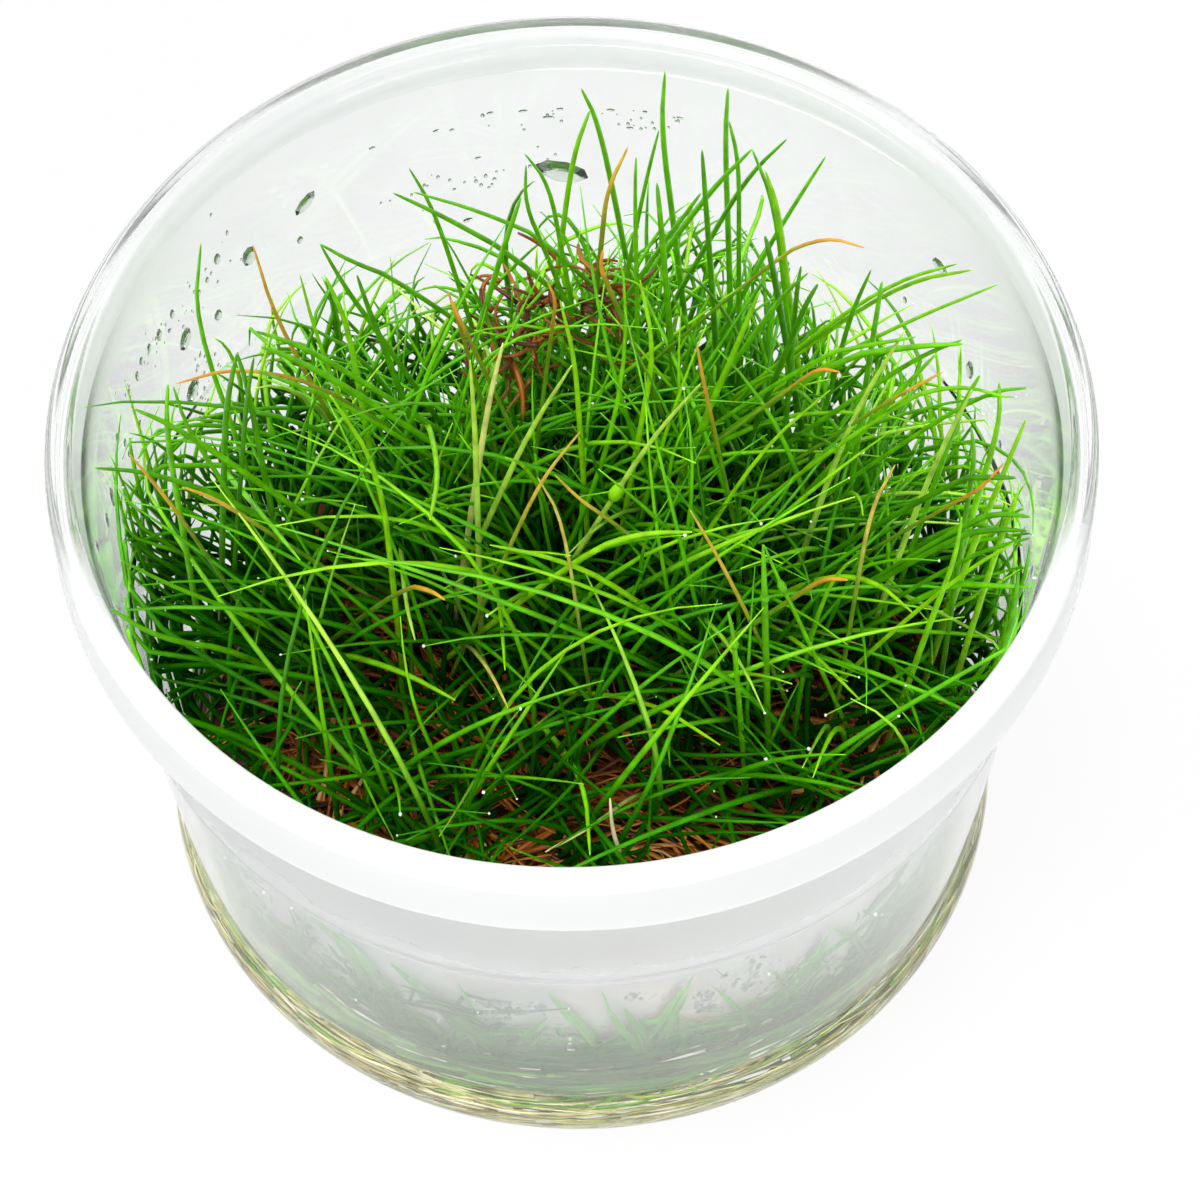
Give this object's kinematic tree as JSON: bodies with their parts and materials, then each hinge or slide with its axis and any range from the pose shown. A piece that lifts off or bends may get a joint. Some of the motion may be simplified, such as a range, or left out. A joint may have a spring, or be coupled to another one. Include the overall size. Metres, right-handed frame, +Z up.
{
  "type": "tissue culture dwarf hairgrass",
  "caption": "Dwarf hairgrass grown in a clear open tissue culture cup: fine arching green blades on a brown root mat over nutrient gel.",
  "frame": {"origin": "centre of the cup's standing face, on the cup's axis", "axes": "+Z up along the cup's axis, -Y towards the front of the plant"},
  "size_m": [0.09, 0.09, 0.0782],
  "materials": {
    "cup_plastic": "clear and glossy, slightly milky, with condensation drops",
    "gel": "clear to pale straw, wet and smooth",
    "root_mat": "damp dead leaves and roots, brown to rust",
    "hairgrass": "fresh green, satin, a few blades dry and golden"
  },
  "bodies": {
    "root": {"cup": "cup_plastic", "nutrient_gel": "gel", "root_mat": "root_mat", "tuft_01": "hairgrass", "tuft_02": "hairgrass", "tuft_03": "hairgrass", "tuft_04": "hairgrass", "tuft_05": "hairgrass", "tuft_06": "hairgrass", "tuft_07": "hairgrass", "tuft_08": "hairgrass", "tuft_09": "hairgrass", "tuft_10": "hairgrass", "tuft_11": "hairgrass", "tuft_12": "hairgrass", "tuft_13": "hairgrass", "tuft_14": "hairgrass", "tuft_15": "hairgrass", "tuft_16": "hairgrass", "tuft_17": "hairgrass", "tuft_18": "hairgrass", "tuft_19": "hairgrass", "tuft_20": "hairgrass", "tuft_21": "hairgrass", "tuft_22": "hairgrass", "tuft_23": "hairgrass", "tuft_24": "hairgrass", "tuft_25": "hairgrass", "tuft_26": "hairgrass", "tuft_27": "hairgrass", "tuft_28": "hairgrass", "tuft_29": "hairgrass", "tuft_30": "hairgrass", "tuft_31": "hairgrass", "tuft_32": "hairgrass", "tuft_33": "hairgrass", "tuft_34": "hairgrass", "tuft_35": "hairgrass", "tuft_36": "hairgrass", "tuft_37": "hairgrass", "tuft_38": "hairgrass", "tuft_39": "hairgrass", "tuft_40": "hairgrass", "tuft_41": "hairgrass", "tuft_42": "hairgrass", "tuft_43": "hairgrass", "tuft_44": "hairgrass"}
  },
  "joints": []
}
